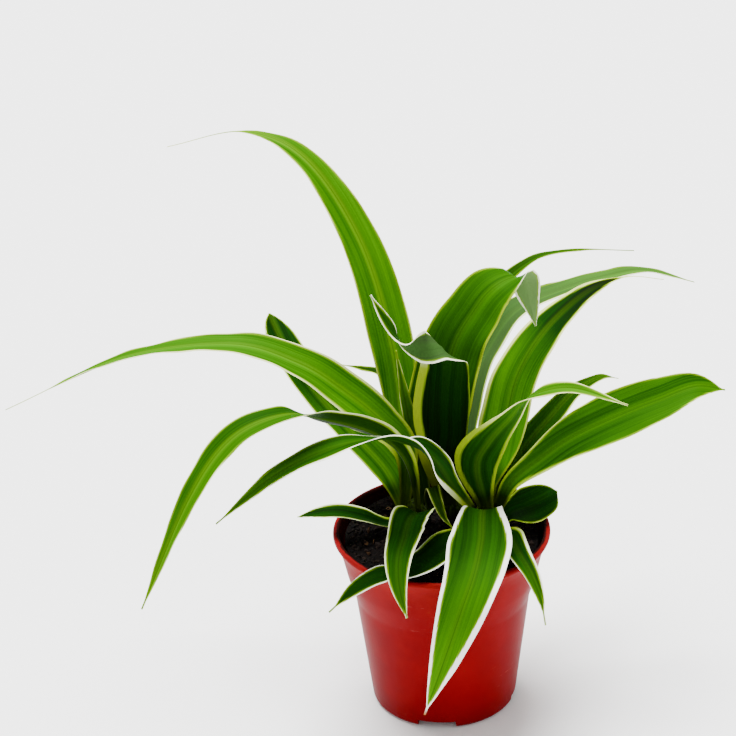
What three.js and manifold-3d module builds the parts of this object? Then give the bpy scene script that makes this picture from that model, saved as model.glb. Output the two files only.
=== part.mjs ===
// A young spider plant in a small red plastic pot.
// Millimetres, +Z up. The origin is the centre of the pot's flat base, and the pot's axis is Z.
// The plant is three crowns grown close together in one pot, each with its own ring of leaves.

import * as THREE from 'three';
import { mergeVertices } from 'three/addons/utils/BufferGeometryUtils.js';
import Module from 'manifold-3d';

const wasm = await Module();
wasm.setup();

// Pot sizes
const POT_HEIGHT = 90;
const RIM_RADIUS = 51;
const BASE_RADIUS = 34;
const BASE_ROUNDING = 1.5;
const WALL = 1.3;
const FLOOR = 1.6;
const STEP_HEIGHT = 61;
const STEP_RADIUS = 41.6;
const COLLAR_HEIGHT = 64;
const COLLAR_RADIUS = 43.6;
const FLARE_HEIGHT = 79;
const FLARE_RADIUS = 46.9;
const LIP_WIDTH = 3.2;
const POT_SIDES = 60;

// Drainage pockets moulded into the edge of the base
const POCKET_COUNT = 4;
const POCKET_FIRST_ANGLE = -98;
const POCKET_WIDTH = 18;
const POCKET_HEIGHT = 4;
const POCKET_INNER_RADIUS = 22;
const DRAIN_HOLE_RADIUS = 3;
const DRAIN_HOLE_SIDES = 16;

// Soil sizes
const SOIL_TOP = 85.5;
const SOIL_MOUND = 2.5;
const SOIL_BUMP = 0.9;
const SOIL_SIDES = 40;
const SOIL_RINGS = 5;

// Clearance kept between touching pieces
const CLEARANCE = 0.35;

// Crown sizes: a short stout stem that stands in a hole in the soil
const CROWN_DEPTH = 9;
const CROWN_SIDES = 16;
const SLOT_STRETCHES = 3;
const CROWNS = {
  left: { x: -12, y: 11, neck: 7.5, top: 99 },
  middle: { x: 6, y: 16, neck: 5.5, top: 99 },
  right: { x: 21, y: 3, neck: 8.5, top: 99 },
};

// Leaf blade
const BLADE_THICKNESS = 0.8;
const BLADE_STEPS_ACROSS = 4;
const TIP_WIDTH = 0.9;
const MARGIN_CURVE = 1.4;

// Colours
const POT_RED = 0xa81c12;
const SOIL_BROWN = 0x1c130e;
const CROWN_GREEN = 0xb9c98a;
const LEAF_GREEN = 0x5f9a1e;

// Leaves. Each spine runs from the crown to the tip as [x, y, z, roll]: roll turns the blade
// about its spine in degrees, and heading is the way the leaf grows in plan, in degrees from +X.
// width is the widest part and neck the width at the crown. swell is the share of the length
// over which the neck widens, and a high taper keeps the blade wide until close to its tip.
// reach is the share of the length where the blade has narrowed to its thread-like tip.
// fold is how deep the channel along the blade is, at the crown and from mid length on.
// stations is the number of stretches the blade is built from.
const LEAVES = [
  {
    name: 'leaf_tall', heading: 135, width: 22, neck: 6, swell: 0.35, taper: 3.2,
    reach: 0.86, fold: [0.5, 0.1], stations: 14,
    spine: [[-12.5, 14.5, 97, -40], [-16, 30, 126, -45], [-21, 46, 166, -40],
      [-34, 64, 209, -30], [-58, 82, 243, -20], [-87, 96, 252, -10], [-124, 106, 241, 0]],
  },
  {
    name: 'leaf_left_long', heading: 165, width: 19, neck: 5, swell: 0.26, taper: 2.8,
    reach: 0.92, fold: [0.5, 0.15], stations: 14,
    spine: [[-17, 11, 94, -65], [-16, 13, 125, -65], [-27, 17, 139, -60], [-44, 25, 151, -45],
      [-64, 32, 162, -25], [-96, 40, 169, -10], [-148, 48, 159, 0], [-205, 54, 130, 0]],
  },
  {
    name: 'leaf_left_upper_droop', heading: 210, width: 18, neck: 5, swell: 0.3, taper: 2.8,
    reach: 1, fold: [0.5, 0.15], stations: 16,
    spine: [[-11.5, 6, 96, 0], [-14, 2, 118, 10], [-20, -4, 135, 22], [-32, -12, 149, 38],
      [-50, -22, 161, 38], [-70, -34, 171, 5], [-94, -42, 164, -15], [-114, -52, 139, -20],
      [-137, -62, 89, -20]],
  },
  {
    name: 'leaf_left_lower_droop', heading: 205, width: 18, neck: 6, swell: 0.45, taper: 2.9,
    reach: 0.99, fold: [0.4, 0.15], stations: 18,
    spine: [[15, 1.5, 97, -30], [10, -2, 106, -55], [4, -11, 120, -60], [-1, -20, 134, -55],
      [-8, -26, 146, -20], [-16, -29, 152, 25], [-28, -33, 157, 25], [-50, -39, 156, -5],
      [-75, -46, 147, -15], [-102, -53, 127, -20]],
  },
  {
    name: 'leaf_back_left', heading: 125, width: 17, neck: 8, swell: 0.2, taper: 16,
    reach: 1, fold: [0.4, 0.15], stations: 14,
    spine: [[-17.5, 14, 93, 0], [-25, 28, 105, 0], [-41, 42, 119, 0], [-59, 58, 135, 0],
      [-71, 74, 148, 0], [-79, 92, 158, 0]],
  },
  {
    name: 'leaf_center_broad', heading: 75, width: 31, neck: 6, swell: 0.35, taper: 4.2,
    reach: 1, fold: [0.5, 0.1], stations: 18,
    spine: [[6, 18, 95, 0], [0, 23, 129, 0], [7, 31, 166, 0], [18, 38, 184, 0], [26, 43, 192, 0],
      [35, 48, 195, 0], [41, 50, 193, 0], [44, 49, 183, 0], [47, 47, 170, 0]],
  },
  {
    name: 'leaf_center_curl', heading: 180, width: 33, neck: 9, swell: 0.45, taper: 1.85,
    reach: 1, fold: [0.35, 0.05], stations: 24,
    spine: [[3.5, 13, 94, -90], [0, 12, 122, -90], [1, 12.5, 135, -90], [1, 13, 144, -90],
      [2, 14, 158, -90], [3, 13, 171, -97], [1, 8, 181, -170], [-7, 3, 184, -250],
      [-16, 1, 187, -330], [-23, 1, 198, -400], [-30, 3, 211, -435]],
  },
  {
    name: 'leaf_right_twist', heading: -30, width: 27, neck: 7, swell: 0.25, taper: 1.15,
    reach: 1, fold: [0.4, 0.1], stations: 18,
    spine: [[21.5, 1.5, 96, -62], [17, 3, 120, -62], [22, -4, 137, -55], [31, -10, 152, -35],
      [41, -16, 167, 0], [59, -24, 175, 25], [83, -36, 172, 25]],
  },
  {
    name: 'leaf_right_big', heading: 55, width: 26, neck: 6, swell: 0.25, taper: 3,
    reach: 0.87, fold: [0.4, 0.1], stations: 14,
    spine: [[20, 9, 97, 0], [28, 21, 116, 0], [32, 29, 130, 0], [37, 39, 146, 0],
      [46, 50, 158, 0], [58, 60, 168, 0], [74, 69, 177, 0], [92, 76, 180, 0],
      [110, 82, 175, 0]],
  },
  {
    name: 'leaf_right_narrow', heading: 45, width: 18, neck: 6, swell: 0.25, taper: 2.5,
    reach: 1, fold: [0.5, 0.2], stations: 13,
    spine: [[10.5, 18.5, 93, 0], [14, 40, 122, 0], [19, 52, 141, 0], [25, 60, 152, 0],
      [39, 70, 167, 0], [64, 80, 173, 0], [84, 87, 175, 4], [103, 94, 174, 14],
      [127, 102, 163, 20]],
  },
  {
    name: 'leaf_top_right_thin', heading: 50, width: 9, neck: 4, swell: 0.3, taper: 3,
    reach: 0.95, fold: [0.5, 0.2], stations: 12,
    spine: [[4, 20, 93, 0], [11, 58, 126, 0], [26, 82, 164, 0], [47, 92, 182, 0],
      [71, 100, 183, 0], [98, 106, 179, 0]],
  },
  {
    name: 'leaf_right_low', heading: 15, width: 25, neck: 6, swell: 0.62, taper: 6.6,
    reach: 0.99, fold: [0.4, 0.15], stations: 14,
    spine: [[27, 5.5, 96, 20], [33, 4, 111, 50], [46, 8, 120, 50], [61, 12, 129, 45],
      [83, 16, 138, 40], [103, 20, 144, 35], [120, 24, 148, 30], [134, 27, 144, 30]],
  },
  {
    name: 'leaf_right_mid_back', heading: 40, width: 17, neck: 5, swell: 0.3, taper: 3,
    reach: 1, fold: [0.5, 0.15], stations: 10,
    spine: [[25.5, 8.5, 91, 0], [38, 24, 114, 0], [53, 36, 127, 0], [65, 46, 135, 0],
      [78, 54, 138, 0], [87, 60, 134, 0]],
  },
  {
    name: 'leaf_left_back_small', heading: 150, width: 10, neck: 4, swell: 0.3, taper: 3,
    reach: 1, fold: [0.5, 0.15], stations: 10,
    spine: [[-9.5, 17, 93, 0], [-14, 38, 116, 0], [-18, 56, 131, 0], [-26, 68, 136, 0],
      [-35, 76, 135, 0], [-45, 84, 133, 0]],
  },
  {
    name: 'leaf_front_hanging', heading: 265, width: 33, neck: 14, swell: 0.35, taper: 2.1,
    reach: 0.98, fold: [0.25, 0.1], stations: 16,
    spine: [[23.5, -5, 94, 0], [19, -11, 105, 0], [17, -33, 102, 0], [13, -53, 97, 0],
      [7, -66, 87, 0], [0, -71, 68, 0], [-6, -71, 49, 0], [-11, -70, 33, 0]],
  },
  {
    name: 'leaf_front_left', heading: 255, width: 18, neck: 5, swell: 0.3, taper: 3.4,
    reach: 1, fold: [0.5, 0.2], stations: 12,
    spine: [[-9, 5, 90, 0], [-11, -8, 103, 0], [-15, -24, 109, 0], [-18, -40, 109, 0],
      [-21, -54, 106, 0], [-21, -63, 97, 0], [-18, -68, 84, 0]],
  },
  {
    name: 'leaf_left_small', heading: 185, width: 13, neck: 5, swell: 0.4, taper: 6,
    reach: 1, fold: [0.4, 0.2], stations: 10,
    spine: [[-17, 8.5, 90, 0], [-26, 3, 91, 0], [-37, 0, 97, 0], [-50, 0, 100, 0],
      [-67, 0, 98, 0]],
  },
  {
    name: 'leaf_lower_left', heading: 240, width: 18, neck: 5, swell: 0.25, taper: 3.2,
    reach: 0.97, fold: [0.4, 0.2], stations: 12,
    spine: [[15.5, -2, 90, 0], [6, -14, 92, 0], [-6, -35, 94, 0], [-18, -46, 94, 0],
      [-29, -48, 94, 0], [-41, -52, 90, 0], [-53, -55, 80, 0]],
  },
  {
    name: 'leaf_lower_right', heading: 300, width: 13, neck: 5, swell: 0.25, taper: 2.6,
    reach: 0.93, fold: [0.5, 0.2], stations: 12,
    spine: [[26, -5.5, 89, 0], [30, -15, 94, 0], [34, -35, 96, 0], [39, -47, 92, 0],
      [43, -55, 83, 0], [45, -57, 71, 0]],
  },
  {
    name: 'leaf_right_dark', heading: 15, width: 20, neck: 5, swell: 0.5, taper: 4.6,
    reach: 1, fold: [0.3, 0.1], stations: 10,
    spine: [[28.5, -0.5, 89, 0], [32, 2, 95, 20], [41, 4, 98, 35], [49, 9, 99, 38],
      [55, 17, 98, 30]],
  },
  {
    name: 'leaf_inner_strip', heading: 300, width: 7, neck: 3, swell: 0.3, taper: 3,
    reach: 1, fold: [0.3, 0.1], stations: 8,
    spine: [[-4.5, 9, 92, 0], [-4, 6, 108, 0], [-2, 0, 105, 0], [1, -2, 97, 0], [5, -4, 92, 0]],
  },
  {
    name: 'leaf_young', heading: 110, width: 8.5, neck: 6, swell: 0.3, taper: 2.4,
    reach: 1, fold: [0.5, 0.3], stations: 8,
    spine: [[-7, 11.5, 96, 0], [-12, 20, 126, 0], [-16, 24, 150, 0], [-19, 29, 169, 0]],
  },
  {
    name: 'leaf_back_low_left', heading: 118, width: 14, neck: 5, swell: 0.3, taper: 3,
    reach: 1, fold: [0.4, 0.2], stations: 10,
    spine: [[-12.5, 17, 88, 0], [-17, 32, 97, 0], [-22, 50, 103, 0], [-26, 67, 98, 0],
      [-29, 80, 82, 0]],
  },
  {
    name: 'leaf_back_low_middle', heading: 98, width: 17, neck: 5, swell: 0.3, taper: 3,
    reach: 1, fold: [0.5, 0.2], stations: 10,
    spine: [[7.5, 20.5, 88, 0], [2.5, 36, 97, 0], [-1, 53, 106, 0], [-4, 69, 103, 0],
      [-6, 82, 90, 0]],
  },
  {
    name: 'leaf_back_low_right', heading: 70, width: 14, neck: 5, swell: 0.3, taper: 3,
    reach: 1, fold: [0.4, 0.2], stations: 10,
    spine: [[19.5, 17, 88, 0], [25, 32, 97, 0], [31, 50, 103, 0], [36, 66, 97, 0],
      [40, 79, 80, 0]],
  },
];

// Gives the point, the direction, the way across and the upper side of a blade at a place
// between 0 at the crown and 1 at the tip
function bladeFrame(leaf, curves, place) {
  const t = curves.spine.getUtoTmapping(place);
  const point = curves.spine.getPoint(t);
  const along = curves.spine.getTangent(t);
  const heading = THREE.MathUtils.degToRad(leaf.heading);
  const across = new THREE.Vector3(-Math.sin(heading), Math.cos(heading), 0);
  across.addScaledVector(along, -across.dot(along)).normalize();
  const roll = THREE.MathUtils.degToRad(curves.roll.getPoint(t).x);
  across.applyAxisAngle(along, roll);
  const upper = new THREE.Vector3().crossVectors(along, across);
  return { point, along, across, upper };
}

// Swells from the neck to the full width and tapers to the tip
function bladeWidth(leaf, place) {
  const swell = THREE.MathUtils.smoothstep(place, 0, leaf.swell);
  const full = THREE.MathUtils.lerp(leaf.neck, leaf.width, swell);
  const drawnIn = Math.min(place / leaf.reach, 1) ** leaf.taper;
  return Math.max(full * (1 - drawnIn), TIP_WIDTH);
}

// Makes the closed solid of a blade, or of its first stretch grown by a clearance
function bladeGeometry(leaf, stretches = leaf.stations, clearance = 0) {
  const spine = new THREE.CatmullRomCurve3(
    leaf.spine.map(([x, y, z]) => new THREE.Vector3(x, y, z)), false, 'catmullrom');
  const roll = new THREE.CatmullRomCurve3(
    leaf.spine.map((row) => new THREE.Vector3(row[3], 0, 0)), false, 'catmullrom');
  const row = BLADE_STEPS_ACROSS + 1;
  const thickness = BLADE_THICKNESS + 2 * clearance;
  const positions = [];
  for (let i = 0; i <= stretches; i += 1) {
    const place = i / leaf.stations;
    const { point, along, across, upper } = bladeFrame(leaf, { spine, roll }, place);
    if (i === 0) point.addScaledVector(along, -clearance);
    const half = bladeWidth(leaf, place) / 2 + clearance;
    const fold = THREE.MathUtils.lerp(leaf.fold[0], leaf.fold[1], Math.min(place * 2, 1));
    for (const side of [1, -1]) {
      for (let j = 0; j < row; j += 1) {
        const share = (2 * j) / BLADE_STEPS_ACROSS - 1;
        const lift = fold * half * Math.abs(share) ** MARGIN_CURVE + (side * thickness) / 2;
        const vertex = point.clone()
          .addScaledVector(across, share * half)
          .addScaledVector(upper, lift);
        positions.push(vertex.x, vertex.y, vertex.z);
      }
    }
  }
  // The upper and lower faces are split along the same diagonal, so the blade stays even
  const at = (i, side, j) => (i * 2 + (side > 0 ? 0 : 1)) * row + j;
  const index = [];
  const quad = (a, b, c, d) => index.push(a, b, c, a, c, d);
  for (let i = 0; i < stretches; i += 1) {
    for (let j = 0; j < BLADE_STEPS_ACROSS; j += 1) {
      quad(at(i, 1, j), at(i + 1, 1, j), at(i + 1, 1, j + 1), at(i, 1, j + 1));
      quad(at(i, -1, j), at(i, -1, j + 1), at(i + 1, -1, j + 1), at(i + 1, -1, j));
    }
    const last = BLADE_STEPS_ACROSS;
    quad(at(i, 1, last), at(i + 1, 1, last), at(i + 1, -1, last), at(i, -1, last));
    quad(at(i, 1, 0), at(i, -1, 0), at(i + 1, -1, 0), at(i + 1, 1, 0));
  }
  for (let j = 0; j < BLADE_STEPS_ACROSS; j += 1) {
    const end = stretches;
    quad(at(0, 1, j), at(0, 1, j + 1), at(0, -1, j + 1), at(0, -1, j));
    quad(at(end, 1, j), at(end, -1, j), at(end, -1, j + 1), at(end, 1, j + 1));
  }
  const geometry = new THREE.BufferGeometry();
  geometry.setAttribute('position', new THREE.Float32BufferAttribute(positions, 3));
  geometry.setIndex(index);
  return geometry;
}

// Turns a closed geometry into a solid that can be cut and joined
function toSolid(geometry) {
  const bare = geometry.clone();
  bare.deleteAttribute('normal');
  bare.deleteAttribute('uv');
  const merged = mergeVertices(bare, 1e-4);
  const vertProperties = new Float32Array(merged.attributes.position.array);
  const triVerts = new Uint32Array(merged.index.array);
  return new wasm.Manifold(new wasm.Mesh({ numProp: 3, vertProperties, triVerts }));
}

function toGeometry(solid) {
  const mesh = solid.getMesh();
  const geometry = new THREE.BufferGeometry();
  geometry.setAttribute('position', new THREE.BufferAttribute(mesh.vertProperties, 3));
  geometry.setIndex(new THREE.BufferAttribute(mesh.triVerts, 1));
  return geometry;
}

// Turns a profile of [radius, height] points about the Z axis
function turned(profile, sides) {
  const points = profile.map(([radius, height]) => new THREE.Vector2(radius, height));
  const geometry = new THREE.LatheGeometry(points, sides);
  geometry.rotateX(Math.PI / 2);
  return geometry;
}

// Outer radius of the pot's wall at a height
function outerRadius(height) {
  if (height <= STEP_HEIGHT) {
    return THREE.MathUtils.mapLinear(height, 0, STEP_HEIGHT, BASE_RADIUS, STEP_RADIUS);
  }
  if (height <= COLLAR_HEIGHT) {
    return THREE.MathUtils.mapLinear(
      height, STEP_HEIGHT, COLLAR_HEIGHT, STEP_RADIUS, COLLAR_RADIUS);
  }
  return THREE.MathUtils.mapLinear(
    height, COLLAR_HEIGHT, FLARE_HEIGHT, COLLAR_RADIUS, FLARE_RADIUS);
}

// Turns a shape that was made on the +X side to the place of one drainage pocket
function turnToPocket(geometry, number) {
  const angle = POCKET_FIRST_ANGLE + (number * 360) / POCKET_COUNT;
  geometry.rotateZ(THREE.MathUtils.degToRad(angle));
  return geometry;
}

// A drainage pocket as a block at the edge of the base
function pocketBlock(width, height, innerRadius, outerEdge, number) {
  const length = outerEdge - innerRadius;
  const block = new THREE.BoxGeometry(length, width, height);
  block.translate(innerRadius + length / 2, 0, height / 2);
  return turnToPocket(block, number);
}

// A round hole up through the roof of a pocket
function drainHole(number) {
  const hole = new THREE.CylinderGeometry(
    DRAIN_HOLE_RADIUS, DRAIN_HOLE_RADIUS, POCKET_HEIGHT * 4, DRAIN_HOLE_SIDES);
  hole.rotateX(Math.PI / 2);
  hole.translate((POCKET_INNER_RADIUS + BASE_RADIUS) / 2, 0, POCKET_HEIGHT);
  return turnToPocket(hole, number);
}

// Thin moulded pot: tapered wall, small step, flared collar and a thick lip
function potGeometry() {
  const inside = (height) => outerRadius(height) - WALL;
  const outer = [
    [0, 0], [BASE_RADIUS - BASE_ROUNDING, 0], [BASE_RADIUS, BASE_ROUNDING],
    [STEP_RADIUS, STEP_HEIGHT], [COLLAR_RADIUS, COLLAR_HEIGHT], [FLARE_RADIUS, FLARE_HEIGHT],
    [FLARE_RADIUS + 1.2, FLARE_HEIGHT + 4], [RIM_RADIUS - 1.1, POT_HEIGHT - 3.4],
    [RIM_RADIUS, POT_HEIGHT - 1.6], [RIM_RADIUS - 0.7, POT_HEIGHT],
  ];
  const inner = [
    [RIM_RADIUS - LIP_WIDTH + 0.6, POT_HEIGHT], [RIM_RADIUS - LIP_WIDTH, POT_HEIGHT - 0.8],
    [inside(FLARE_HEIGHT) + 1, FLARE_HEIGHT + 4], [inside(FLARE_HEIGHT), FLARE_HEIGHT],
    [inside(COLLAR_HEIGHT), COLLAR_HEIGHT], [inside(STEP_HEIGHT), STEP_HEIGHT],
    [inside(FLOOR), FLOOR], [0, FLOOR],
  ];
  let pot = toSolid(turned([...outer, ...inner], POT_SIDES));
  const body = toSolid(turned([
    [0, 0], [BASE_RADIUS - BASE_ROUNDING, 0], [BASE_RADIUS, BASE_ROUNDING],
    [outerRadius(12), 12], [0, 12]], POT_SIDES));
  for (let number = 0; number < POCKET_COUNT; number += 1) {
    const cover = toSolid(pocketBlock(
      POCKET_WIDTH + 2 * WALL, POCKET_HEIGHT + WALL, POCKET_INNER_RADIUS - WALL,
      BASE_RADIUS + 4, number));
    pot = pot.add(cover.intersect(body));
  }
  for (let number = 0; number < POCKET_COUNT; number += 1) {
    const space = pocketBlock(
      POCKET_WIDTH, 2 * POCKET_HEIGHT, POCKET_INNER_RADIUS, BASE_RADIUS + 6, number);
    space.translate(0, 0, -POCKET_HEIGHT);
    pot = pot.subtract(toSolid(space)).subtract(toSolid(drainHole(number)));
  }
  return toGeometry(pot);
}

// Height of the soil's surface: low mounds on a gentle dome
function soilHeight(radius, angle, edge) {
  const dome = SOIL_MOUND * (1 - (radius / edge) ** 2);
  const bumps = Math.sin(0.35 * radius + 3 * angle) + Math.cos(0.21 * radius - 5 * angle);
  return SOIL_TOP + dome + SOIL_BUMP * bumps * (radius / edge) * (1.2 - radius / edge);
}

// One crown: sunk in the soil, widest at the surface and drawn in toward its top
function crownBlank(crown, clearance = 0) {
  const foot = SOIL_TOP - CROWN_DEPTH;
  const geometry = turned([
    [0, foot - clearance], [crown.neck * 0.8 + clearance, foot - clearance],
    [crown.neck + clearance, SOIL_TOP], [crown.neck + clearance, SOIL_TOP + 7],
    [crown.neck * 0.75 + clearance, crown.top - 4], [crown.neck * 0.35 + clearance, crown.top],
    [0, crown.top]], CROWN_SIDES);
  geometry.translate(crown.x, crown.y, 0);
  return geometry;
}

// Soil fills the pot to just below the rim
function soilGeometry() {
  const gap = WALL + CLEARANCE;
  const edge = outerRadius(SOIL_TOP) - gap;
  const profile = [
    [0, FLOOR + CLEARANCE], [outerRadius(FLOOR + 1) - gap, FLOOR + CLEARANCE],
    [outerRadius(STEP_HEIGHT) - gap, STEP_HEIGHT + 0.2],
    [outerRadius(COLLAR_HEIGHT) - gap, COLLAR_HEIGHT + 0.2],
    [FLARE_RADIUS - gap, FLARE_HEIGHT + 0.2]];
  for (let ring = SOIL_RINGS; ring >= 0; ring -= 1) {
    profile.push([(edge * ring) / SOIL_RINGS, SOIL_TOP]);
  }
  const geometry = turned(profile, SOIL_SIDES);
  const position = geometry.attributes.position;
  for (let i = 0; i < position.count; i += 1) {
    if (position.getZ(i) > SOIL_TOP - 0.01) {
      const x = position.getX(i);
      const y = position.getY(i);
      position.setZ(i, soilHeight(Math.hypot(x, y), Math.atan2(y, x), edge));
    }
  }
  let soil = toSolid(geometry);
  for (let number = 0; number < POCKET_COUNT; number += 1) {
    const block = pocketBlock(
      POCKET_WIDTH + 2 * (WALL + CLEARANCE), POCKET_HEIGHT + WALL + CLEARANCE,
      POCKET_INNER_RADIUS - WALL - CLEARANCE, BASE_RADIUS + 6, number);
    soil = soil.subtract(toSolid(block));
  }
  for (const crown of Object.values(CROWNS)) {
    soil = soil.subtract(toSolid(crownBlank(crown, CLEARANCE)));
  }
  return toGeometry(soil);
}

// A crown with a slot for the foot of each leaf that reaches into it
function crownGeometry(crown) {
  let solid = toSolid(crownBlank(crown));
  for (const leaf of LEAVES) {
    solid = solid.subtract(toSolid(bladeGeometry(leaf, SLOT_STRETCHES, CLEARANCE)));
  }
  return toGeometry(solid);
}

function addMesh(group, name, geometry, color, roughness) {
  const material = new THREE.MeshStandardMaterial({ color, roughness, metalness: 0 });
  const mesh = new THREE.Mesh(geometry, material);
  mesh.name = name;
  group.add(mesh);
}

const group = new THREE.Group();
addMesh(group, 'pot', potGeometry(), POT_RED, 0.35);
addMesh(group, 'soil', soilGeometry(), SOIL_BROWN, 0.95);
for (const [name, crown] of Object.entries(CROWNS)) {
  addMesh(group, `crown_${name}`, crownGeometry(crown), CROWN_GREEN, 0.6);
}
for (const leaf of LEAVES) {
  addMesh(group, leaf.name, bladeGeometry(leaf), LEAF_GREEN, 0.45);
}

export default group;
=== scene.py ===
"""A young variegated spider plant in a small red nursery pot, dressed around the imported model.

Metres, +Z up. The sizes at the top are in millimetres, and the blades follow the same spines as
the model's leaves.
"""
import math
import random
from dataclasses import dataclass

import bmesh
import bpy
import numpy as np
from mathutils import Matrix, Vector, noise


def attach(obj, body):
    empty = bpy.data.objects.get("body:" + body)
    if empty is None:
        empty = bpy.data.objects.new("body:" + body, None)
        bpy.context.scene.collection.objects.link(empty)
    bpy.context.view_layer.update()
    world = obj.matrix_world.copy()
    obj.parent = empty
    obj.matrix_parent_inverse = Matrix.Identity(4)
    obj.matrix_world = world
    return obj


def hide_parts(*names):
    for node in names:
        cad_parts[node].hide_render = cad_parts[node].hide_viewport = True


MM = 0.001

# Pot sizes in millimetres, and the angle in degrees from which an edge stays sharp
POT_HEIGHT = 90
RIM_RADIUS = 51
BASE_RADIUS = 34
BASE_ROUNDING = 1.5
CORNER_ROUNDING = 1.6
WALL = 1.3
FLOOR = 1.6
STEP_HEIGHT = 61
STEP_RADIUS = 41.6
STEP_BLEND = 4
COLLAR_HEIGHT = 64
COLLAR_RADIUS = 43.6
FLARE_HEIGHT = 79
FLARE_RADIUS = 46.9
FLARE_BEND = 4
FLARE_SPREAD = 1.2
INNER_FLARE_SPREAD = 1
LIP_WIDTH = 3.2
LIP_FOOT_DROP = 3.4
LIP_FOOT_INSET = 1.1
LIP_SIDE_DROP = 1.6
LIP_OUTER_BEVEL = 0.7
LIP_INNER_BEVEL = 0.6
LIP_INNER_DROP = 0.8
POT_SIDES = 180
POT_SHARP_ANGLE = 35

# Drainage pockets at the foot, in millimetres and degrees
POCKET_COUNT = 4
POCKET_FIRST_ANGLE = -98
POCKET_WIDTH = 18
POCKET_HEIGHT = 4
POCKET_INNER_RADIUS = 22
POCKET_OVERSHOOT = 6
COVER_OVERLAP = 0.4
COVER_STEPS = 24
DRAIN_HOLE_RADIUS = 3

# Soil sizes in millimetres
SOIL_TOP = 85.5
SOIL_MOUND = 2.5
SOIL_BUMP = 0.9
SOIL_GAP = 0.35
SOIL_FOOT = 6
SOIL_GRAIN = 0.35
SOIL_ROUGHNESS = 0.9
SOIL_CALM_EDGE = 2
SOIL_RINGS = 60
SOIL_SIDES = 200

# Soil residue and painted shade on the inside of the collar in millimetres, with the lean of its
# edge
RESIDUE_AND_SHADE_DROP = 5
RESIDUE_AND_SHADE_INSET = 0.8
RESIDUE_AND_SHADE_LEAN = 0.28

# Crumbs and chips of bark in millimetres, and how far one reaches as a share of its size
CRUMB_COUNT = 1500
CRUMB_SIZES = (0.5, 1.7)
CHIP_COUNT = 40
CHIP_SIZES = (1.4, 3.0)
LUMP_REACH = 1.6

# Crowns in millimetres, with the twist of their ribs in radians a metre
CROWNS = {
    "crown_left": {"x": -12, "y": 11, "neck": 7.5},
    "crown_middle": {"x": 6, "y": 16, "neck": 5.5},
    "crown_right": {"x": 21, "y": 3, "neck": 8.5},
}
CROWN_DEPTH = 9
CROWN_TOP = 99
CROWN_RING = 4
CROWN_STRAIGHT = 7
CROWN_SHOULDER = 4
CROWN_TIP_DROP = 0.3
CROWN_SIDES = 72
CROWN_RIBS = 5
CROWN_RIB_DEPTH = 0.07
CROWN_RIB_TWIST = 260

# Blade sizes in millimetres, with the lengths of waves a radian
BLADE_MIDDLE = 0.6
BLADE_EDGE = 0.28
TIP_WIDTH = 0.9
CREASE_DEPTH = 0.35
CREASE_WIDTH = 0.7
LONG_WAVE = 5.3
SHORT_WAVE = 3.1
FRILL_WAVE = 1.3

# The frill's place as a share of the length, the curves of a blade's section toward its edges,
# and how far apart two leaves lie in the noise of the streaks
FRILL_PLACE = 0.36
FRILL_SPREAD = 0.17
FRILL_SWAY = 0.7
CHANNEL_CURVE = 1.4
EDGE_CURVE = 3
STREAK_SHIFT = 7.0

# How finely a blade is divided
STEPS_ALONG = 90
STEPS_ACROSS = 18
SPINE_SAMPLES = 201
SPINE_NUDGE = 1e-4

# Camera, floor and light, in metres and degrees, with the lens in millimetres
LOOK_AT = (-0.0321, 0.0, 0.1755)
CAMERA_ELEVATION = 28
CAMERA_DISTANCE = 1.45
CAMERA_ROLL = -1.693
CAMERA_LENS = 156.17
CAMERA_SENSOR = 36
CAMERA_REACH = 20
FLOOR_HALF = 6.0
SURROUND_STRENGTH = 0.95
SUN_STRENGTH = 11.5
SUN_SPREAD = 40
SUN_DIRECTION = (0.15, -0.3, -1)


def rgb(red, green, blue):
    """A colour given as it looks on a screen, 0 to 255, as linear values with alpha."""
    def linear(value):
        value /= 255
        return value / 12.92 if value <= 0.04045 else ((value + 0.055) / 1.055) ** 2.4
    return (linear(red), linear(green), linear(blue), 1.0)


# Colours of the leaves
BLACK = rgb(0, 0, 0)
DARK_GREEN = rgb(2, 24, 0)
DARK_STREAK = rgb(16, 62, 0)
BRIGHT_GREEN = rgb(14, 74, 0)
BRIGHT_STREAK = rgb(72, 134, 0)
STRIPE_GREEN = rgb(104, 148, 4)
RIB_GREEN = rgb(16, 52, 0)
GREY_GREEN = rgb(104, 136, 78)
MARGIN_FEATHER = rgb(118, 150, 6)
YELLOW_AT_CROWN = rgb(116, 142, 8)
WHITE_AT_CROWN = rgb(140, 158, 24)
YELLOW_MARGIN = rgb(196, 208, 56)
WHITE_MARGIN = rgb(254, 254, 244)
# Dull olive at the crown: partly the paler leaf base, partly painted shade
BLADE_FOOT = rgb(84, 104, 26)
DRY_BROWN = rgb(112, 66, 24)
DRY_TAN = rgb(176, 112, 60)

# Colours of the pot
POT_RED = rgb(101, 1, 8)
POT_PALER_RED = rgb(117, 3, 10)
POT_DRIFT_RED = rgb(127, 7, 12)
SCUFF_PINK = rgb(200, 100, 84)
SPECK_BROWN = rgb(96, 30, 16)
DUST_RED = rgb(150, 36, 27)
# Near black inside the rim: soil residue and painted shade
RESIDUE_AND_SHADE_BROWN = rgb(12, 5, 3)

# Colours of the soil, the crowns and the floor
SOIL_BLACK = rgb(3, 2, 2)
SOIL_BROWN = rgb(17, 11, 9)
SOIL_PATCH = rgb(12, 6, 4)
FLAKE_GREY = rgb(80, 78, 76)
CRUMB_DARK = rgb(5, 3, 3)
CRUMB_LIGHT = rgb(30, 20, 15)
BARK_DARK = rgb(34, 20, 12)
BARK_LIGHT = rgb(112, 80, 54)
# Crown greens kept dark as painted shade among the leaves
CROWN_DARK = rgb(8, 18, 2)
CROWN_LIGHT = rgb(40, 56, 10)
CROWN_FOOT = rgb(24, 22, 10)
PAPER_GREY = rgb(250, 250, 250)
PAPER_WHITE = rgb(253, 253, 253)


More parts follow.
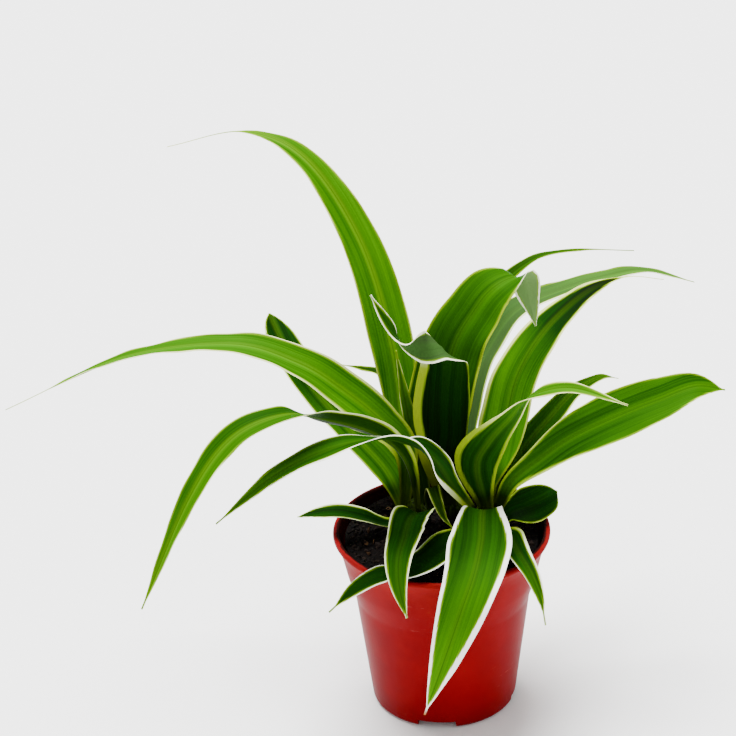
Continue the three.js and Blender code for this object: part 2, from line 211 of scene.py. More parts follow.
@dataclass
class Leaf:
    """One leaf. The sizes are the model's, in millimetres and degrees.

    A pair holds the value at the crown and the one at the tip, where nothing else is said.
    Right and left are as seen from the crown.
    """

    # The way that it sets out, its greatest width and its width at the crown
    heading: float
    width: float
    neck: float
    # The share of the length by which it is widest, how late it draws in, and the share where
    # its thin tip starts
    swell: float
    taper: float
    reach: float
    # How deep the channel is, at the crown and from the middle on
    fold: tuple
    # Points of the spine, each with the roll of the blade there
    spine: list
    # The green, from 0, dark, to 1, bright yellow-green, partly the leaf's own green and partly
    # painted light and shade, and below 0 darker still as painted shade
    tone: tuple = (0.5, 0.5)
    # The widths of the pale margins
    right: tuple = (0.9, 0.8)
    left: tuple = (0.9, 0.8)
    # Where along the blade the margins turn from the one width to the other and from yellow to
    # their own colour, which goes from 0, yellow, to 1, white
    change: tuple = (0.12, 0.5)
    white: float = 0.5
    # How far the edges waver, and the share of the length that is brown, from the tip
    ripple: float = 0.3
    dry: float = 0.0
    # Height and side of a frill on one edge
    wave: tuple = (0, 0)
    # How clearly a pale stripe runs along the middle
    pale: float = 0.5
    # How grey-green the lower face is, and the upper face as a painted sheen, and below 0 how
    # much darker, as painted shade
    under: float = 0.3
    over: float = 0.0
    # The share of the length, from the crown, with painted shade, as among the other stems
    shaded: float = 0.15


LEAVES = {
    "leaf_tall": Leaf(
        135, 22, 6, 0.35, 3.2, 0.86, (0.5, 0.1), [
            (-12.5, 14.5, 97, -40), (-16, 30, 126, -45), (-21, 46, 166, -40),
            (-34, 64, 209, -30), (-58, 82, 243, -20), (-87, 96, 252, -10), (-124, 106, 241, 0)],
        tone=(0.9, 0.85), right=(0.8, 0.5), left=(0.8, 0.6), white=0.2, pale=0.9),
    "leaf_left_long": Leaf(
        165, 19, 5, 0.26, 2.8, 0.92, (0.5, 0.15), [
            (-17, 11, 94, -65), (-16, 13, 125, -65), (-27, 17, 139, -60), (-44, 25, 151, -45),
            (-64, 32, 162, -25), (-96, 40, 169, -10), (-148, 48, 159, 0), (-205, 54, 130, 0)],
        tone=(0.65, 0.75), right=(1.2, 0.6), left=(1.4, 0.8), white=0.4, pale=0.4,
        under=0.1),
    "leaf_left_upper_droop": Leaf(
        210, 18, 5, 0.3, 2.8, 1, (0.5, 0.15), [
            (-11.5, 6, 96, 0), (-14, 2, 118, 10), (-20, -4, 135, 22), (-32, -12, 149, 38),
            (-50, -22, 161, 38), (-70, -34, 171, 5), (-94, -42, 164, -15),
            (-114, -52, 139, -20), (-137, -62, 89, -20)],
        tone=(0.1, 0.6), right=(0.9, 0.4), left=(1.2, 0.4), white=0.5, pale=0.5,
        under=-0.6),
    "leaf_left_lower_droop": Leaf(
        205, 18, 6, 0.45, 2.9, 0.99, (0.4, 0.15), [
            (15, 1.5, 97, -30), (10, -2, 106, -55), (4, -11, 120, -60), (-1, -20, 134, -55),
            (-8, -26, 146, -20), (-16, -29, 152, 25), (-28, -33, 157, 25), (-50, -39, 156, -5),
            (-75, -46, 147, -15), (-102, -53, 127, -20)],
        tone=(-0.1, 0.4), right=(0.7, 0.5), left=(5.0, 0.8), change=(0.04, 0.36), white=0.9,
        pale=0.1, under=-0.3, shaded=0.02),
    "leaf_back_left": Leaf(
        125, 17, 8, 0.2, 16, 1, (0.4, 0.15), [
            (-17.5, 14, 93, 0), (-25, 28, 105, 0), (-41, 42, 119, 0), (-59, 58, 135, 0),
            (-71, 74, 148, 0), (-79, 92, 158, 0)],
        tone=(0.4, -0.2), right=(0.7, 0.5), left=(0.9, 0.6), white=0.4, pale=0.3, under=0.0),
    "leaf_center_broad": Leaf(
        75, 31, 6, 0.35, 4.2, 1, (0.5, 0.1), [
            (6, 18, 95, 0), (0, 23, 129, 0), (7, 31, 166, 0), (18, 38, 184, 0),
            (26, 43, 192, 0), (35, 48, 195, 0), (41, 50, 193, 0), (44, 49, 183, 0),
            (47, 47, 170, 0)],
        tone=(0.1, 0.45), right=(0.8, 0.9), left=(0.6, 1.5), change=(0.75, 0.85), white=0.8,
        ripple=0.5, pale=0.1, under=0.8),
    "leaf_center_curl": Leaf(
        180, 33, 9, 0.45, 1.85, 1, (0.35, 0.05), [
            (3.5, 13, 94, -90), (0, 12, 122, -90), (1, 12.5, 135, -90), (1, 13, 144, -90),
            (2, 14, 158, -90), (3, 13, 171, -97), (1, 8, 181, -170), (-7, 3, 184, -250),
            (-16, 1, 187, -330), (-23, 1, 198, -400), (-30, 3, 211, -435)],
        tone=(-0.7, 0.1), right=(0.0, 1.1), left=(3.8, 1.3), change=(0.53, 0.62), white=0.75,
        pale=0.0, under=0.18, shaded=0.3),
    "leaf_right_twist": Leaf(
        -30, 27, 7, 0.25, 1.15, 1, (0.4, 0.1), [
            (21.5, 1.5, 96, -62), (17, 3, 120, -62), (22, -4, 137, -55), (31, -10, 152, -35),
            (41, -16, 167, 0), (59, -24, 175, 25), (83, -36, 172, 25)],
        tone=(0.0, 0.7), right=(2.3, 0.8), left=(1.2, 1.0), change=(0.35, 0.6), white=0.3,
        pale=0.2, under=0.0, shaded=0.1),
    "leaf_right_big": Leaf(
        55, 26, 6, 0.25, 3, 0.87, (0.4, 0.1), [
            (20, 9, 97, 0), (28, 21, 116, 0), (32, 29, 130, 0), (37, 39, 146, 0),
            (46, 50, 158, 0), (58, 60, 168, 0), (74, 69, 177, 0), (92, 76, 180, 0),
            (110, 82, 175, 0)],
        tone=(1.0, -0.9), right=(0.9, 0.9), left=(1.6, 1.4), white=0.2, pale=0.25),
    "leaf_right_narrow": Leaf(
        45, 18, 6, 0.25, 2.5, 1, (0.5, 0.2), [
            (10.5, 18.5, 93, 0), (14, 40, 122, 0), (19, 52, 141, 0), (25, 60, 152, 0),
            (39, 70, 167, 0), (64, 80, 173, 0), (84, 87, 175, 4), (103, 94, 174, 14),
            (127, 102, 163, 20)],
        tone=(-0.2, 0.6), right=(0.7, 1.0), left=(0.9, 0.3), white=0.6, pale=0.1,
        over=0.2),
    "leaf_top_right_thin": Leaf(
        50, 9, 4, 0.3, 3, 0.95, (0.5, 0.2), [
            (4, 20, 93, 0), (11, 58, 126, 0), (26, 82, 164, 0), (47, 92, 182, 0),
            (71, 100, 183, 0), (98, 106, 179, 0)],
        tone=(0.2, 0.3), right=(0.4, 0.3), left=(0.4, 0.3), white=0.2, pale=0.1),
    "leaf_right_low": Leaf(
        15, 25, 6, 0.62, 6.6, 0.99, (0.4, 0.15), [
            (27, 5.5, 96, 20), (33, 4, 111, 50), (46, 8, 120, 50), (61, 12, 129, 45),
            (83, 16, 138, 40), (103, 20, 144, 35), (120, 24, 148, 30), (134, 27, 144, 30)],
        tone=(0.2, 0.4), right=(1.3, 0.4), left=(0.8, 0.4), white=0.2, pale=0.1, shaded=0.1),
    "leaf_right_mid_back": Leaf(
        40, 17, 5, 0.3, 3, 1, (0.5, 0.15), [
            (25.5, 8.5, 91, 0), (38, 24, 114, 0), (53, 36, 127, 0), (65, 46, 135, 0),
            (78, 54, 138, 0), (87, 60, 134, 0)],
        tone=(0.2, 0.3), right=(0.9, 0.7), left=(0.6, 0.5), white=0.3, pale=0.3),
    "leaf_left_back_small": Leaf(
        150, 10, 4, 0.3, 3, 1, (0.5, 0.15), [
            (-9.5, 17, 93, 0), (-14, 38, 116, 0), (-18, 56, 131, 0), (-26, 68, 136, 0),
            (-35, 76, 135, 0), (-45, 84, 133, 0)],
        tone=(0.2, -0.4), right=(0.6, 0.5), left=(0.6, 0.5), white=0.3, pale=0.1),
    "leaf_front_hanging": Leaf(
        265, 33, 14, 0.35, 2.1, 0.98, (0.25, 0.1), [
            (23.5, -5, 94, 0), (19, -11, 105, 0), (17, -33, 102, 0), (13, -53, 97, 0),
            (7, -66, 87, 0), (0, -71, 68, 0), (-6, -71, 49, 0), (-11, -70, 33, 0)],
        tone=(0.1, 0.9), right=(1.8, 1.6), left=(3.4, 2.5), change=(0.0, 0.06), white=1.0,
        dry=0.04, pale=0.2, shaded=0.02),
    "leaf_front_left": Leaf(
        255, 18, 5, 0.3, 3.4, 1, (0.5, 0.2), [
            (-9, 5, 90, 0), (-11, -8, 103, 0), (-15, -24, 109, 0), (-18, -40, 109, 0),
            (-21, -54, 106, 0), (-21, -63, 97, 0), (-18, -68, 84, 0)],
        tone=(-0.4, 0.2), right=(1.0, 0.8), left=(1.0, 1.0), white=0.6, wave=(1.0, 1),
        pale=0.1, shaded=0.1),
    "leaf_left_small": Leaf(
        185, 13, 5, 0.4, 6, 1, (0.4, 0.2), [
            (-17, 8.5, 90, 0), (-26, 3, 91, 0), (-37, 0, 97, 0), (-50, 0, 100, 0),
            (-67, 0, 98, 0)],
        tone=(-0.65, -0.15), right=(0.8, 0.9), left=(0.3, 0.3), white=0.5, pale=0.0),
    "leaf_lower_left": Leaf(
        240, 18, 5, 0.25, 3.2, 0.97, (0.4, 0.2), [
            (15.5, -2, 90, 0), (6, -14, 92, 0), (-6, -35, 94, 0), (-18, -46, 94, 0),
            (-29, -48, 94, 0), (-41, -52, 90, 0), (-53, -55, 80, 0)],
        tone=(-0.5, 0.0), right=(0.6, 0.5), left=(0.8, 0.9), white=0.9, pale=0.0),
    "leaf_lower_right": Leaf(
        300, 13, 5, 0.25, 2.6, 0.93, (0.5, 0.2), [
            (26, -5.5, 89, 0), (30, -15, 94, 0), (34, -35, 96, 0), (39, -47, 92, 0),
            (43, -55, 83, 0), (45, -57, 71, 0)],
        tone=(-0.2, 0.3), right=(0.7, 0.6), left=(1.1, 1.3), white=0.8, pale=0.1),
    "leaf_right_dark": Leaf(
        15, 20, 5, 0.5, 4.6, 1, (0.3, 0.1), [
            (28.5, -0.5, 89, 0), (32, 2, 95, 20), (41, 4, 98, 35), (49, 9, 99, 38),
            (55, 17, 98, 30)],
        tone=(-0.65, -0.3), right=(0.2, 0.2), left=(0.3, 0.3), white=0.1, pale=0.0),
    "leaf_inner_strip": Leaf(
        300, 7, 3, 0.3, 3, 1, (0.3, 0.1), [
            (-4.5, 9, 92, 0), (-4, 6, 108, 0), (-2, 0, 105, 0), (1, -2, 97, 0), (5, -4, 92, 0)],
        tone=(-0.6, 0.0), right=(0.3, 0.4), left=(0.3, 0.4), white=0.2, pale=0.2, shaded=0.7),
    "leaf_young": Leaf(
        110, 8.5, 6, 0.3, 2.4, 1, (0.5, 0.3), [
            (-7, 11.5, 96, 0), (-12, 20, 126, 0), (-16, 24, 150, 0), (-19, 29, 169, 0)],
        tone=(0.3, 0.5), right=(0.5, 0.5), left=(0.5, 0.5), white=0.3, pale=0.2, shaded=0.5),
    "leaf_back_low_left": Leaf(
        118, 14, 5, 0.3, 3, 1, (0.4, 0.2), [
            (-12.5, 17, 88, 0), (-17, 32, 97, 0), (-22, 50, 103, 0), (-26, 67, 98, 0),
            (-29, 80, 82, 0)],
        tone=(0.0, 0.4), white=0.4),
    "leaf_back_low_middle": Leaf(
        98, 17, 5, 0.3, 3, 1, (0.5, 0.2), [
            (7.5, 20.5, 88, 0), (2.5, 36, 97, 0), (-1, 53, 106, 0), (-4, 69, 103, 0),
            (-6, 82, 90, 0)],
        tone=(0.0, 0.5), white=0.4),
    "leaf_back_low_right": Leaf(
        70, 14, 5, 0.3, 3, 1, (0.4, 0.2), [
            (19.5, 17, 88, 0), (25, 32, 97, 0), (31, 50, 103, 0), (36, 66, 97, 0),
            (40, 79, 80, 0)],
        tone=(0.0, 0.4), white=0.4),
}


class Nodes:
    """Small helper that adds shader nodes and joins them."""

    def __init__(self, name):
        self.material = bpy.data.materials.new(name)
        self.material.use_nodes = True
        self.tree = self.material.node_tree
        self.shader = self.tree.nodes["Principled BSDF"]

    def add(self, kind, values=None, **settings):
        """A node whose inputs are numbers or the outputs of other nodes."""
        node = self.tree.nodes.new(kind)
        for key, value in settings.items():
            setattr(node, key, value)
        for key, value in (values or {}).items():
            if isinstance(value, bpy.types.NodeSocket):
                self.tree.links.new(value, node.inputs[key])
            else:
                node.inputs[key].default_value = value
        return node

    def link(self, output, name):
        """Joins an output to one of the shader's sockets."""
        self.tree.links.new(output, self.shader.inputs[name])

    def set(self, name, value):
        """Sets one number on one of the shader's sockets."""
        self.shader.inputs[name].default_value = value

    def attribute(self, name, output="Fac"):
        """A value that the mesh holds at each point."""
        return self.add("ShaderNodeAttribute", attribute_name=name).outputs[output]

    def place(self):
        """The place on the object, in metres."""
        return self.add("ShaderNodeTexCoord").outputs["Object"]

    def axis(self, vector, number):
        """One coordinate of a vector."""
        return self.add("ShaderNodeSeparateXYZ", {0: vector}).outputs[number]

    def math(self, operation, first, second=0.0, clamp=False):
        """What an operation makes of two values, held between 0 and 1 where clamp says so."""
        node = self.add("ShaderNodeMath", {0: first, 1: second}, operation=operation,
                        use_clamp=clamp)
        return node.outputs[0]

    def plus(self, first, second):
        """The first value plus the second."""
        return self.math("ADD", first, second)

    def minus(self, first, second):
        """The first value less the second."""
        return self.math("SUBTRACT", first, second)

    def times(self, first, second):
        """The first value times the second."""
        return self.math("MULTIPLY", first, second)

    def smooth(self, value, low, high):
        """A soft step from 0 to 1 between two values."""
        node = self.add("ShaderNodeMapRange", {"Value": value, "From Min": low, "From Max": high},
                        interpolation_type="SMOOTHSTEP")
        return node.outputs[0]

    def mix(self, factor, first, second):
        """The first colour where the factor is 0 and the second where it is 1."""
        node = self.add("ShaderNodeMix", {0: factor, 6: first, 7: second}, data_type="RGBA")
        return node.outputs[2]

    def noise(self, vector, scale, detail=3.0, roughness=0.5):
        """Soft noise from 0 to 1."""
        node = self.add("ShaderNodeTexNoise", {"Vector": vector, "Scale": scale,
                                               "Detail": detail, "Roughness": roughness})
        return node.outputs[0]

    def stretched(self, vector, scale):
        """A vector scaled on each axis."""
        return self.add("ShaderNodeMapping", {"Vector": vector, "Scale": scale}).outputs[0]

    def bump(self, height, strength, distance):
        """Gives the shader a fine relief."""
        node = self.add("ShaderNodeBump", {"Height": height, "Strength": strength,
                                           "Distance": distance})
        self.link(node.outputs[0], "Normal")


def darkened(n, colour, amount):
    """The colour, darker where the amount is below 0 and black where it is -1."""
    return n.mix(n.plus(1.0, n.math("MINIMUM", amount, 0.0)), BLACK, colour)


def leaf_green(n, blade, fine):
    """Green of the blade, with long streaks, the lines along its middle and its two faces."""
    # Streaks are noise stretched along the blade, which holds millimetres
    broad = n.noise(n.stretched(blade, (0.22, 0.004, 1.0)), 1.0, 2.0)
    patch = n.noise(n.stretched(blade, (0.05, 0.03, 1.0)), 1.0, 2.0)
    level = n.plus(n.times(n.smooth(broad, 0.36, 0.64), 0.45),
                   n.times(n.smooth(fine, 0.34, 0.66), 0.3))
    level = n.plus(level, n.times(patch, 0.25))
    # The tone is partly the leaf's own green and partly painted light and shade
    tone = n.attribute("tone")
    green = n.mix(tone, n.mix(level, DARK_GREEN, DARK_STREAK),
                  n.mix(level, BRIGHT_GREEN, BRIGHT_STREAK))

    # Pale stripe beside the midrib and a thin dark line on it
    middle = n.math("ABSOLUTE", n.axis(blade, 0))
    stripe = n.times(n.minus(1.0, n.smooth(middle, 0.4, 2.4)), n.attribute("pale"))
    green = n.mix(n.times(stripe, 0.5), green, STRIPE_GREEN)
    rib = n.minus(1.0, n.smooth(middle, 0.1, 0.45))
    green = n.mix(n.times(rib, 0.35), green, RIB_GREEN)

    # Painted shade where the tone is below 0; each face greyer by its own value, the upper face's
    # grey a painted sheen, and below 0 darker as painted shade
    green = darkened(n, green, tone)
    under = n.attribute("under")
    green = n.mix(n.math("MAXIMUM", under, 0.0), green, GREY_GREEN)
    return darkened(n, green, under)


def leaf_margins(n, green, fine):
    """The green with pale margins, whose inner edge wavers and feathers into it."""
    waver = n.times(n.minus(fine, 0.5), 1.5)
    depth = n.plus(n.attribute("margin"), waver)
    feather = n.smooth(depth, -0.9, 0.1)
    colour = n.mix(n.times(feather, 0.75), green, MARGIN_FEATHER)
    white = n.attribute("white")
    near = n.mix(white, YELLOW_AT_CROWN, WHITE_AT_CROWN)
    outer = n.mix(white, YELLOW_MARGIN, WHITE_MARGIN)
    cream = n.mix(n.attribute("outward"), near, outer)
    return n.mix(n.smooth(depth, -0.05, 0.4), colour, cream)


def leaf_ends(n, colour, fine):
    """The colour, dull olive and darkened by painted shade at the crown, and dry at the tip."""
    # Dull olive near the crown: partly the paler leaf base, partly painted shade
    foot = n.math("SUBTRACT", 0.6, n.smooth(n.attribute("along"), 0.0, 0.12), clamp=True)
    colour = n.mix(foot, colour, BLADE_FOOT)
    # Painted shade: the colour darkened toward the crown, among the other stems
    colour = n.mix(n.attribute("shade"), colour, n.mix(0.25, BLACK, colour))
    return n.mix(n.attribute("dry"), colour, n.mix(fine, DRY_BROWN, DRY_TAN))


def leaf_material():
    """Green blade with long streaks, a pale middle stripe and cream-white margins."""
    n = Nodes("leaf_blade")
    blade = n.attribute("blade", "Vector")
    fine = n.noise(n.stretched(blade, (1.5, 0.012, 1.0)), 1.0, 3.0, 0.6)
    green = leaf_green(n, blade, fine)
    n.link(leaf_ends(n, leaf_margins(n, green, fine), fine), "Base Color")
    rough = n.add("ShaderNodeMapRange", {"Value": fine, "To Min": 0.48, "To Max": 0.64})
    n.link(rough.outputs[0], "Roughness")
    n.set("Specular IOR Level", 0.012)
    veins = n.noise(n.stretched(blade, (2.6, 0.008, 1.0)), 1.0, 2.0)
    n.bump(veins, 0.35, 0.0004)
    return n.material


def pot_scuffs(n, place):
    """Short pale marks, mostly level."""
    scratch = n.noise(n.stretched(place, (60.0, 60.0, 900.0)), 1.0, 4.0, 0.65)
    where = n.noise(place, 30.0, 2.0)
    return n.times(n.smooth(scratch, 0.65, 0.73), n.smooth(where, 0.52, 0.64))


def pot_specks(n, place):
    """Specks of dried soil."""
    cells = n.add("ShaderNodeTexVoronoi", {"Vector": place, "Scale": 260.0}).outputs[0]
    where = n.noise(place, 90.0, 2.0)
    return n.times(n.minus(1.0, n.smooth(cells, 0.06, 0.12)), n.smooth(where, 0.58, 0.66))


def pot_residue_and_shade(n, place, height, mottle):
    """Soil residue and painted shade, near black, on the inner wall of the collar and on the
    inner edge of the lip.
    """
    away = n.add("ShaderNodeVectorMath", {0: n.stretched(place, (1.0, 1.0, 0.0))},
                 operation="LENGTH").outputs[1]
    lean = n.times(n.minus(height, FLARE_HEIGHT * MM), RESIDUE_AND_SHADE_LEAN)
    wall = n.plus((FLARE_RADIUS - RESIDUE_AND_SHADE_INSET) * MM, lean)
    uneven = n.times(n.minus(n.noise(place, 120.0, 4.0, 0.7), 0.5), 0.003)
    depth = n.plus(n.minus(wall, away), n.math("MINIMUM", uneven, 0.0004))
    collar = n.math("GREATER_THAN", height, (FLARE_HEIGHT - RESIDUE_AND_SHADE_DROP) * MM)
    inside = n.times(n.smooth(depth, -0.0003, 0.0004), collar)
    return n.math("MULTIPLY", inside, n.plus(0.72, n.times(mottle, 0.4)), clamp=True)


def pot_material():
    """Dull red moulded plastic with faint mottling, scuffs, specks, dust, and soil residue with
    painted shade at the rim.
    """
    n = Nodes("pot_plastic")
    place = n.place()
    height = n.axis(place, 2)
    mottle = n.noise(place, 45.0, 4.0, 0.6)
    drift = n.noise(n.stretched(place, (14.0, 14.0, 5.0)), 1.0, 2.0)
    scuff = pot_scuffs(n, place)
    dust = n.times(n.smooth(height, 0.06, 0.088), n.smooth(mottle, 0.2, 0.8))
    colour = n.mix(n.smooth(mottle, 0.3, 0.75), POT_RED, POT_PALER_RED)
    colour = n.mix(n.times(n.smooth(drift, 0.35, 0.8), 0.5), colour, POT_DRIFT_RED)
    colour = n.mix(n.times(scuff, 0.35), colour, SCUFF_PINK)
    colour = n.mix(pot_specks(n, place), colour, SPECK_BROWN)
    colour = n.mix(n.times(dust, 0.3), colour, DUST_RED)
    # Soil residue and painted shade inside the rim
    colour = n.mix(pot_residue_and_shade(n, place, height, mottle), colour, RESIDUE_AND_SHADE_BROWN)
    n.link(colour, "Base Color")
    rough = n.plus(n.times(mottle, 0.18), n.times(dust, 0.25))
    n.link(n.plus(rough, 0.28), "Roughness")
    n.set("Specular IOR Level", 0.02)
    n.bump(n.plus(n.noise(place, 700.0, 2.0), n.times(scuff, -0.8)), 0.12, 0.0003)
    return n.material


def soil_material():
    """Moist dark potting soil with pale flakes."""
    n = Nodes("soil_ground")
    place = n.place()
    clods = n.noise(place, 420.0, 6.0, 0.7)
    patch = n.noise(place, 70.0, 3.0)
    flake = n.smooth(n.noise(place, 900.0, 1.0), 0.72, 0.8)
    colour = n.mix(n.smooth(clods, 0.3, 0.75), SOIL_BLACK, SOIL_BROWN)
    colour = n.mix(n.times(n.smooth(patch, 0.45, 0.7), 0.5), colour, SOIL_PATCH)
    colour = n.mix(n.times(flake, 0.4), colour, FLAKE_GREY)
    n.link(colour, "Base Color")
    n.set("Roughness", 0.9)
    n.set("Specular IOR Level", 0.06)
    n.bump(clods, 0.9, 0.002)
    return n.material


def crumb_material(name, dark, light):
    """A crumb or a chip of bark, coloured by its own number."""
    n = Nodes(name)
    grain = n.noise(n.place(), 900.0, 4.0, 0.7)
    level = n.plus(n.times(n.attribute("own"), 0.65), n.times(grain, 0.35))
    n.link(n.mix(n.smooth(level, 0.25, 0.85), dark, light), "Base Color")
    n.set("Roughness", 0.85)
    n.set("Specular IOR Level", 0.1)
    n.bump(grain, 0.6, 0.0006)
    return n.material


def crown_material():
    """Leaf bases: dark green as painted shade among the leaves, with fine upright ribs, brown
    toward the soil.
    """
    n = Nodes("crown_tissue")
    place = n.place()
    ribs = n.noise(n.stretched(place, (700.0, 700.0, 40.0)), 1.0, 3.0, 0.6)
    # Dark greens: painted shade among the leaves
    colour = n.mix(n.smooth(ribs, 0.3, 0.7), CROWN_DARK, CROWN_LIGHT)
    low = n.minus(1.0, n.smooth(n.axis(place, 2), 0.086, 0.094))
    n.link(n.mix(low, colour, CROWN_FOOT), "Base Color")
    n.set("Roughness", 0.6)
    n.set("Specular IOR Level", 0.02)
    n.bump(ribs, 0.5, 0.0006)
    return n.material


def floor_material():
    """Plain near-white paper sweep."""
    n = Nodes("floor_paper")
    n.link(n.mix(n.noise(n.place(), 260.0, 3.0), PAPER_GREY, PAPER_WHITE), "Base Color")
    n.set("Roughness", 0.9)
    return n.material


def make_object(name, vertices, faces, material, smooth=True):
    """A mesh object from points in metres."""
    mesh = bpy.data.meshes.new(name)
    mesh.from_pydata([tuple(v) for v in vertices], [], faces)
    mesh.materials.append(material)
    mesh.polygons.foreach_set("use_smooth", [smooth] * len(mesh.polygons))
    mesh.update()
    made = bpy.data.objects.new(name, mesh)
    bpy.context.scene.collection.objects.link(made)
    return made


def add_attribute(mesh, name, kind, values):
    """Stores one value or one vector for each point of the mesh."""
    field = "vector" if kind == "FLOAT_VECTOR" else "value"
    attribute = mesh.attributes.new(name, kind, "POINT")
    attribute.data.foreach_set(field, np.asarray(values, np.float32).ravel())


def settle(piece, node):
    """The piece stands for the CAD node and rides on the only body."""
    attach(piece, "root")
    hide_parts(node)


def smoothstep(value, low, high):
    """A soft step from 0 to 1 between two values."""
    share = np.clip((value - low) / (high - low), 0, 1)
    return share * share * (3 - 2 * share)


def between(pair, share):
    """A value on the way from the first of a pair to the second."""
    return pair[0] + (pair[1] - pair[0]) * share


def curve_point(points, t):
    """A point on the uniform Catmull-Rom curve through the points, at t from 0 to 1."""
    ends = np.vstack([2 * points[0] - points[1], points, 2 * points[-1] - points[-2]])
    place = np.clip(t, 0, 1) * (len(points) - 1)
    first = np.minimum(np.floor(place).astype(int), len(points) - 2)
    w = (place - first)[:, None]
    p0, p1, p2, p3 = (ends[first + k] for k in range(4))
    into, out = (p2 - p0) / 2, (p3 - p1) / 2
    return (p1 + into * w + (-3 * p1 + 3 * p2 - 2 * into - out) * w ** 2
            + (2 * p1 - 2 * p2 + into + out) * w ** 3)


def blade_frames(leaf, places):
    """Points, ways across and ways up for places along the spine, and the spine's length."""
    rows = np.array(leaf.spine, float)
    steps = np.linspace(0, 1, SPINE_SAMPLES)
    line = curve_point(rows[:, :3], steps)
    lengths = np.concatenate([[0], np.cumsum(np.linalg.norm(np.diff(line, axis=0), axis=1))])
    t = np.interp(places * lengths[-1], lengths, steps)
    point = curve_point(rows[:, :3], t)
    ahead = curve_point(rows[:, :3], np.minimum(t + SPINE_NUDGE, 1))
    behind = curve_point(rows[:, :3], np.maximum(t - SPINE_NUDGE, 0))
    along = ahead - behind
    along /= np.linalg.norm(along, axis=1)[:, None]
    heading = math.radians(leaf.heading)
    across = np.array([-math.sin(heading), math.cos(heading), 0.0])
    across = across - (along @ across)[:, None] * along
    across /= np.linalg.norm(across, axis=1)[:, None]
    upper = np.cross(along, across)
    roll = np.radians(curve_point(rows[:, 3:4], t))
    across = across * np.cos(roll) + upper * np.sin(roll)
    return point, across, np.cross(along, across), lengths[-1]


def blade_width(leaf, places):
    """Width of the blade along its length, swelling from the neck and drawn in to the tip."""
    full = between((leaf.neck, leaf.width), smoothstep(places, 0, leaf.swell))
    drawn_in = np.minimum(places / leaf.reach, 1) ** leaf.taper
    return np.maximum(full * (1 - drawn_in), TIP_WIDTH)


def blade_section(leaf, number, places, share, width, run):
    """How far each point lies across from the spine and above it, in millimetres."""
    rng = random.Random(number)
    shift = [rng.uniform(0, 2 * math.pi) for _ in range(4)]
    half = (width / 2)[:, None]
    rim = np.abs(share) ** EDGE_CURVE
    x = share * half

    # The channel, and a crease along the midrib that fades at both ends
    fold = between(leaf.fold, np.minimum(2 * places, 1))[:, None]
    free = smoothstep(places, 0.12, 0.3)[:, None] * smoothstep(width, 0.5, 6)[:, None]
    lift = fold * half * np.abs(share) ** CHANNEL_CURVE
    crease = CREASE_DEPTH * np.exp(-(x / CREASE_WIDTH) ** 2) * free

    # Wavering edges, and a frill on one of them
    waver = (np.sin(run / LONG_WAVE + shift[0] + 1.3 * share)
             + 0.6 * np.sin(run / SHORT_WAVE + shift[1] - 0.8 * share)) * leaf.ripple
    height, side = leaf.wave
    near = np.exp(-((places[:, None] - FRILL_PLACE) / FRILL_SPREAD) ** 2) * (share * side > 0)
    frill = height * near
    waver = waver + frill * np.sin(run / FRILL_WAVE + shift[2])
    x = x + side * FRILL_SWAY * frill * np.sin(run / FRILL_WAVE + shift[3]) * rim
    return x, lift - crease + waver * rim * free


def blade_thickness(share, width):
    """Thickness at each point, least at the edges and toward the tip."""
    thick = between((BLADE_EDGE, BLADE_MIDDLE), 1 - share ** 2)
    return thick * between((0.5, 1), smoothstep(width, 0.5, 4))[:, None]


def blade_faces():
    """Faces of a blade: the upper and the lower one, the two edges and the two ends."""
    row = STEPS_ACROSS + 1
    lower = (STEPS_ALONG + 1) * row
    last = STEPS_ALONG * row
    faces = []
    for i in range(STEPS_ALONG):
        for j in range(STEPS_ACROSS):
            a = i * row + j
            faces.append((a, a + row, a + row + 1, a + 1))
            faces.append((lower + a, lower + a + 1, lower + a + row + 1, lower + a + row))
        a = i * row
        b = i * row + STEPS_ACROSS
        faces.append((a, lower + a, lower + a + row, a + row))
        faces.append((b, b + row, lower + b + row, lower + b))
    for j in range(STEPS_ACROSS):
        faces.append((j, j + 1, lower + j + 1, lower + j))
        faces.append((last + j, lower + last + j, lower + last + j + 1, last + j + 1))
    return faces


def dry_share(leaf, places):
    """How dry the blade is along its length."""
    if leaf.dry == 0:
        return np.zeros_like(places)
    return smoothstep(places, 1 - leaf.dry, 1 - 0.1 * leaf.dry)


def paint_blade(mesh, leaf, number, places, share, width, x, run):
    """Stores what the leaf's material asks for, first for the upper face, then for the lower."""
    outward = smoothstep(places, *leaf.change)[:, None]
    wanted = np.where(share < 0, between(leaf.right, outward), between(leaf.left, outward))
    wanted = wanted * between((0.35, 1), smoothstep(width, 2, 14))[:, None]
    edge = (1 - np.abs(share)) * (width / 2)[:, None]
    values = {
        "margin": wanted - edge,
        "along": places[:, None],
        # Tone: partly painted light and shade, and below 0 painted shade
        "tone": between(leaf.tone, smoothstep(places, 0.25, 0.9))[:, None],
        "white": leaf.white,
        "outward": outward,
        "dry": dry_share(leaf, places)[:, None],
        # Painted shade toward the crown
        "shade": 1 - smoothstep(places, 0.5 * leaf.shaded, leaf.shaded)[:, None],
        "pale": leaf.pale,
    }
    for name, value in values.items():
        one_face = np.broadcast_to(value, x.shape).ravel()
        add_attribute(mesh, name, "FLOAT", np.concatenate([one_face, one_face]))
    # The upper face's grey is a painted sheen, and either value below 0 is painted shade
    faces = [np.full(x.size, leaf.over), np.full(x.size, leaf.under)]
    add_attribute(mesh, "under", "FLOAT", np.concatenate(faces))
    blade = np.stack(np.broadcast_arrays(x, run, number * STREAK_SHIFT), axis=-1)
    add_attribute(mesh, "blade", "FLOAT_VECTOR", np.stack([blade, blade]))


